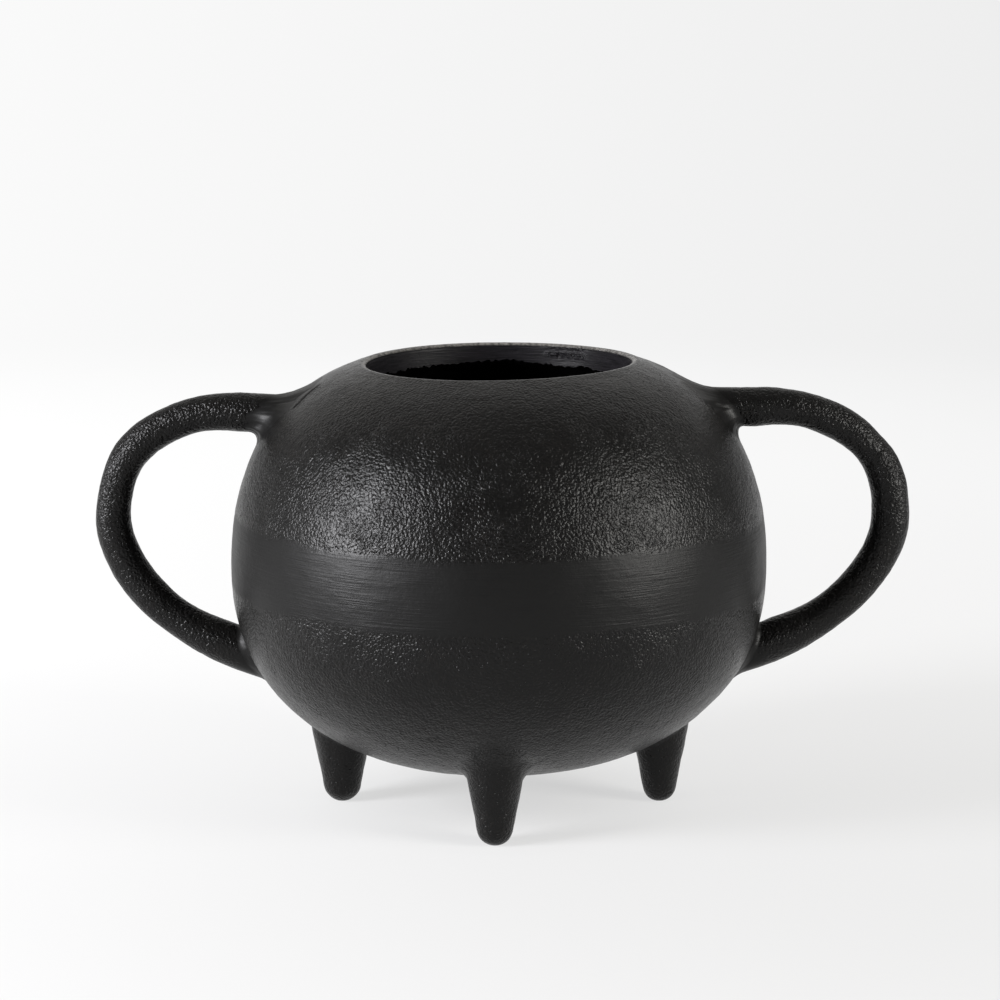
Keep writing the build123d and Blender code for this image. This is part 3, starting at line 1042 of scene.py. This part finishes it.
def bored(name):
    """The turned land inside the mouth: paint over fine tool lines."""
    m, tree = material(name)
    g = Nodes(tree)
    mm = g.place()
    patch = g.attr("dress")
    lines = g.noise(g.scaled(mm, (0.09, 0.09, 2.6)), 1.0, 3.0, 0.62)
    wide = g.noise(g.scaled(mm, (0.05, 0.05, 0.8)), 1.0, 2.0, 0.5)
    torn = g.noise(g.scaled(mm, (0.7, 0.7, 1.1)), 1.0, 3.0, 0.6, 0.8)
    height = g.math("MULTIPLY", lines, 0.16)
    height = g.math("MULTIPLY_ADD", wide, 0.15, height)
    height = g.math("ADD", height, g.math("MULTIPLY", g.math("MULTIPLY", torn, patch), 0.9))
    colour = g.mix(g.step(lines, 0.4, 0.7), (0.0048, 0.0045, 0.0052), (0.0115, 0.0105, 0.0125))
    rough = g.math("MULTIPLY_ADD", patch, -0.10, g.math("MULTIPLY_ADD", lines, 0.2, 0.30))
    shader = tree.nodes.new("ShaderNodeBsdfPrincipled")
    g.put(shader.inputs["Base Color"], colour)
    g.put(shader.inputs["Roughness"], rough)
    shader.inputs["Specular IOR Level"].default_value = 0.12
    g.put(shader.inputs["Normal"], g.bump(height))
    out = tree.nodes.new("ShaderNodeOutputMaterial")
    tree.links.new(shader.outputs[0], out.inputs[0])
    return m


def raw_inside(name):
    """The rough cast inside, thinly sprayed and dull."""
    m, tree = material(name)
    g = Nodes(tree)
    mm = g.place()
    grit = g.noise(mm, 0.55, 3.0, 0.6, 0.3)
    lump = g.noise(mm, 0.12, 2.0, 0.5)
    height = g.math("MULTIPLY_ADD", lump, 0.5, g.math("MULTIPLY", grit, 0.35))
    colour = g.mix(g.step(lump, 0.35, 0.7), (0.0022, 0.0021, 0.0021), (0.0060, 0.0056, 0.0053))
    rough = g.math("MULTIPLY_ADD", grit, 0.2, 0.62)
    shader = tree.nodes.new("ShaderNodeBsdfPrincipled")
    g.put(shader.inputs["Base Color"], colour)
    g.put(shader.inputs["Roughness"], rough)
    shader.inputs["Specular IOR Level"].default_value = 0.1
    g.put(shader.inputs["Normal"], g.bump(height))
    out = tree.nodes.new("ShaderNodeOutputMaterial")
    tree.links.new(shader.outputs[0], out.inputs[0])
    return m


cast_paint = painted("cast_black_paint")
bar_paint = painted("bar_black_paint", cast=1.15)
foot_paint = painted("foot_black_paint", cast=0.9)
weld_paint = painted("ground_black_paint", cast=0.4, gloss=-0.07)
land_paint = bored("bored_land_paint")
inside_paint = raw_inside("cast_inside_paint")

# ------------------------------------------------------------------ the pieces
left_bar = Bar(LEFT_LINE, LEFT_BAR, LEFT_STRAY, 3.0)
right_bar = Bar(RIGHT_LINE, RIGHT_BAR, RIGHT_STRAY, 71.0, ((90.0, 0.64), (118.0, 0.40)))
for bar in (left_bar, right_bar):
    ring = np.arange(24) * 2 * math.pi / 24
    bar.root_low = cross(bar, ring, 0.0, -40.0, 60.0).mean()
    bar.root_high = cross(bar, ring, 0.0, bar.length + 40.0, bar.length - 70.0).mean()
pegs = {name: Peg(at, FOOT_GROW[name], 19.0 * k + 5) for k, (name, at) in enumerate(FEET.items())}


def put(piece, node, materials, slot):
    ob = piece.build(materials, slot)
    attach(ob, "root")
    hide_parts(node)
    return ob


put(make_upper(), "upper_shell", [cast_paint, land_paint, inside_paint], "cast_black")
put(make_seam(), "equator_weld", [cast_paint, inside_paint], "ground_black")
put(make_lower(), "lower_shell", [cast_paint, inside_paint], "cast_black")
put(make_bar("left_handle_bar", left_bar), "left_handle", [bar_paint], "cast_black")
put(make_bar("right_handle_bar", right_bar), "right_handle", [bar_paint], "cast_black")

FOOT_MARKS = {
    "left_foot": [((-77.0, -11.6, 25.0), 0.8, 0.8), ((-76.0, -11.4, 20.5), 0.9, 0.7), ((-80.5, -11.0, 29.0), 0.7, 0.5)],
    "right_foot": [((90.2, -1.5, 21.5), 1.6, 0.8), ((78.0, -11.5, 30.0), 0.8, 0.5)],
    "front_foot": [((-8.5, -88.6, 16.0), 1.3, 0.45), ((1.0, -91.0, 9.0), 0.9, 0.4)],
    "rear_foot": [((3.0, 91.5, 22.0), 1.2, 0.5)],
}
for name, peg in pegs.items():
    put(make_peg(name + "_peg", peg, FOOT_MARKS[name]), name, [foot_paint], "cast_black")
    put(
        make_weld(
            name + "_weld_bead", peg, 70.0, 5.0,
            lambda a: 5.6 + 0 * a, lambda a: 7.0 + 0 * a, lambda a: 0.1 + 0 * a,
            seed=7, tight=0.56, soft=0.15,
        ),
        name + "_weld", [foot_paint], "ground_black",
    )


def around_bar(top, front, under, back):
    """A value by the angle around a handle bar, from four sides."""

    def value(a):
        c, s = np.cos(a), np.sin(a)
        up = np.maximum(c * bar_up, 0) ** 2
        down = np.maximum(-c * bar_up, 0) ** 2
        near = np.maximum(-s, 0) ** 2
        far = np.maximum(s, 0) ** 2
        return top * up + under * down + front * near + back * far

    return value


# side 'side' of a bar frame is its tangent turned a quarter in X-Z
for side, bar in (("left", left_bar), ("right", right_bar)):
    t_low = bar.path(bar.root_low)[1][0]
    t_high = bar.path(bar.root_high)[1][0]
    bar_up = 1.0 if t_low[0] > 0 else -1.0
    put(
        make_weld(
            f"{side}_handle_upper_bead", bar, -40.0, 60.0,
            around_bar(11.0, 14.0, 7.5, 10.0) if side == "left" else around_bar(12.0, 13.0, 9.0, 10.0),
            around_bar(12.0, 15.0, 9.0, 10.0) if side == "left" else around_bar(9.0, 11.0, 6.5, 9.0),
            around_bar(-0.4, 0.2, 0.2, 0.4),
            seed=13 if side == "left" else 29, tight=0.62,
        ),
        f"{side}_handle_upper_weld", [weld_paint], "ground_black",
    )
    bar_up = 1.0 if t_high[0] > 0 else -1.0
    put(
        make_weld(
            f"{side}_handle_lower_bead", bar, bar.length + 40.0, bar.length - 70.0,
            around_bar(1.6, 3.4, 4.5, 4.5) if side == "left" else around_bar(1.4, 6.0, 8.0, 5.0),
            around_bar(3.4, 8.0, 8.0, 7.0) if side == "left" else around_bar(3.4, 6.0, 9.0, 7.0),
            around_bar(0.1, 0.5, 0.2, 0.5),
            seed=43 if side == "left" else 57, tight=0.6,
            marks=() if side == "left" else (((132.6, -7.2, 90.0), 1.3, 1.4), ((134.6, -6.0, 89.0), 0.9, 0.8)),
        ),
        f"{side}_handle_lower_weld", [weld_paint], "ground_black",
    )

# ----------------------------------------------------------------- the setting
scene = bpy.context.scene
scene.view_settings.view_transform = "Standard"
scene.view_settings.look = "None"
scene.view_settings.exposure = 0.0
scene.view_settings.gamma = 1.0


GLOW_NEAR, GLOW_FAR, GLOW_SLOPE = 0.64, 0.905, -0.20


def floor_material():
    m, tree = material("pale_paper")
    g = Nodes(tree)
    coord = tree.nodes.new("ShaderNodeTexCoord")
    sep = tree.nodes.new("ShaderNodeSeparateXYZ")
    g.put(sep.inputs[0], coord.outputs["Object"])
    # lit from below like a light table, a little brighter on the left
    apart = tree.nodes.new("ShaderNodeVectorMath")
    apart.operation = "LENGTH"
    g.put(apart.inputs[0], coord.outputs["Object"])
    across = g.math("DIVIDE", sep.outputs[0], g.math("MULTIPLY_ADD", apart.outputs["Value"], 0.64, 1.0))
    near = g.step(apart.outputs["Value"], 0.2, 1.7, GLOW_NEAR, GLOW_FAR)
    glow = g.math("MULTIPLY_ADD", across, GLOW_SLOPE, near)
    # more behind, where the lamps in front don't reach
    back = g.step(sep.outputs[1], -0.25, 0.35, 0.0, 0.10)
    back = g.math("MULTIPLY", back, g.step(apart.outputs["Value"], 0.9, 2.0, 1.0, 0.0))
    glow = g.math("ADD", glow, back)
    # and less in the shade right under the bowl
    shade = g.step(apart.outputs["Value"], 0.02, 0.11, 0.84, 1.0)
    glow = g.math("MULTIPLY", glow, shade)
    # the outer parts of the sheet, at both sides and in front, glow less
    wide = g.step(g.math("ABSOLUTE", sep.outputs[0]), 0.9, 1.7, 1.0, 0.55)
    front = g.step(sep.outputs[1], -1.4, -0.7, 0.60, 1.0)
    glow = g.math("MULTIPLY", glow, g.math("MINIMUM", wide, front))
    emit = tree.nodes.new("ShaderNodeEmission")
    emit.inputs["Color"].default_value = (1.0, 1.0, 1.0, 1.0)
    g.put(emit.inputs["Strength"], glow)
    plain = tree.nodes.new("ShaderNodeBsdfDiffuse")
    tone = g.step(apart.outputs["Value"], 0.5, 1.7, 0.17, 0.0)
    grey = tree.nodes.new("ShaderNodeCombineColor")
    for k in range(3):
        g.put(grey.inputs[k], tone)
    g.put(plain.inputs["Color"], grey.outputs[0])
    add = tree.nodes.new("ShaderNodeAddShader")
    tree.links.new(emit.outputs[0], add.inputs[0])
    tree.links.new(plain.outputs[0], add.inputs[1])
    out = tree.nodes.new("ShaderNodeOutputMaterial")
    tree.links.new(add.outputs[0], out.inputs[0])
    return m


def make_floor():
    """A round sheet of paper that rises gently at its rim."""
    n = 96
    radii = [0.0, 0.4, 0.9, 1.6, 2.4, 3.2, 3.9, 4.4, 4.8, 5.1, 5.3, 5.4]
    p = Piece("floor")
    a = np.arange(n) * 2 * math.pi / n
    prev = None
    for r in radii[1:]:
        lift = 0.0 if r < 3.9 else 1700 * ((r - 3.9) / 1.5) ** 2
        pts = np.stack([r * 1000 * np.cos(a), r * 1000 * np.sin(a), np.full(n, lift)], 1)
        ids = p.ring(pts)
        if prev is None:
            p.fan(ids, [0, 0, 0], 0, start=False)
        else:
            p.strip(ids, prev, 0)
        prev = ids
    pts = np.concatenate(p.points) * 0.001
    me = bpy.data.meshes.new("floor")
    me.from_pydata(pts.tolist(), [], [f.tolist() for fs, _ in p.faces for f in fs])
    me.polygons.foreach_set("use_smooth", np.ones(len(me.polygons), bool))
    me.materials.append(floor_material())
    me.update()
    ob = bpy.data.objects.new("floor", me)
    scene.collection.objects.link(ob)
    return ob


floor = make_floor()

def make_world():
    """A dim room with a pale wall behind and a pale ceiling."""
    world = bpy.data.worlds.new("studio")
    world.use_nodes = True
    tree = world.node_tree
    g = Nodes(tree)
    coord = tree.nodes.new("ShaderNodeTexCoord")
    sep = tree.nodes.new("ShaderNodeSeparateXYZ")
    g.put(sep.inputs[0], coord.outputs["Generated"])
    back = g.step(sep.outputs[1], *WALL_FROM)
    overhead = g.step(sep.outputs[2], *CEILING_FROM)
    glow = g.math("MULTIPLY_ADD", back, WALL_GLOW, ROOM_GLOW)
    glow = g.math("MULTIPLY_ADD", overhead, CEILING_GLOW, glow)
    g.put(tree.nodes["Background"].inputs[1], glow)
    tree.nodes["Background"].inputs[0].default_value = (1.0, 0.985, 0.96, 1.0)
    scene.world = world


ROOM_GLOW = 0.05
WALL_GLOW, WALL_FROM = 0.66, (0.15, 0.75)
CEILING_GLOW, CEILING_FROM = 0.30, (0.55, 0.95)
make_world()


def softbox(name, way, far, size, radiance, colour, look=(0.0, 0.0, 0.12)):
    data = bpy.data.lights.new(name, "AREA")
    data.shape = "RECTANGLE"
    data.size, data.size_y = size
    data.energy = radiance * math.pi * size[0] * size[1]
    data.color = colour
    ob = bpy.data.objects.new(name, data)
    way = Vector(way).normalized()
    ob.location = Vector(look) + way * far
    ob.rotation_euler = way.to_track_quat("Z", "Y").to_euler()
    ob.visible_camera = False
    scene.collection.objects.link(ob)
    return ob


softbox("softbox_left", (-0.85, -0.42, 0.29), 1.7, (0.62, 0.95), 36.0, (0.97, 0.97, 1.0))
softbox("softbox_right", (0.86, -0.42, 0.29), 1.7, (0.62, 0.95), 19.0, (1.0, 0.985, 0.95))

cam_data = bpy.data.cameras.new("camera")
cam_data.sensor_fit = "HORIZONTAL"
cam_data.sensor_width = 36.0
cam_data.lens = 112.06
cam_data.dof.use_dof = False
cam = bpy.data.objects.new("camera", cam_data)
eye = Vector((0.0, -1.525, 0.42273))
middle = Vector((0.0, 0.0, 0.111625))
ahead = (middle - eye).normalized()
upward = Vector((1, 0, 0)).cross(ahead)
aim = middle + upward * 0.04137 + Vector((0.0005, 0, 0))
cam.location = eye
cam.rotation_euler = (aim - eye).to_track_quat("-Z", "Y").to_euler()
scene.collection.objects.link(cam)
scene.camera = cam
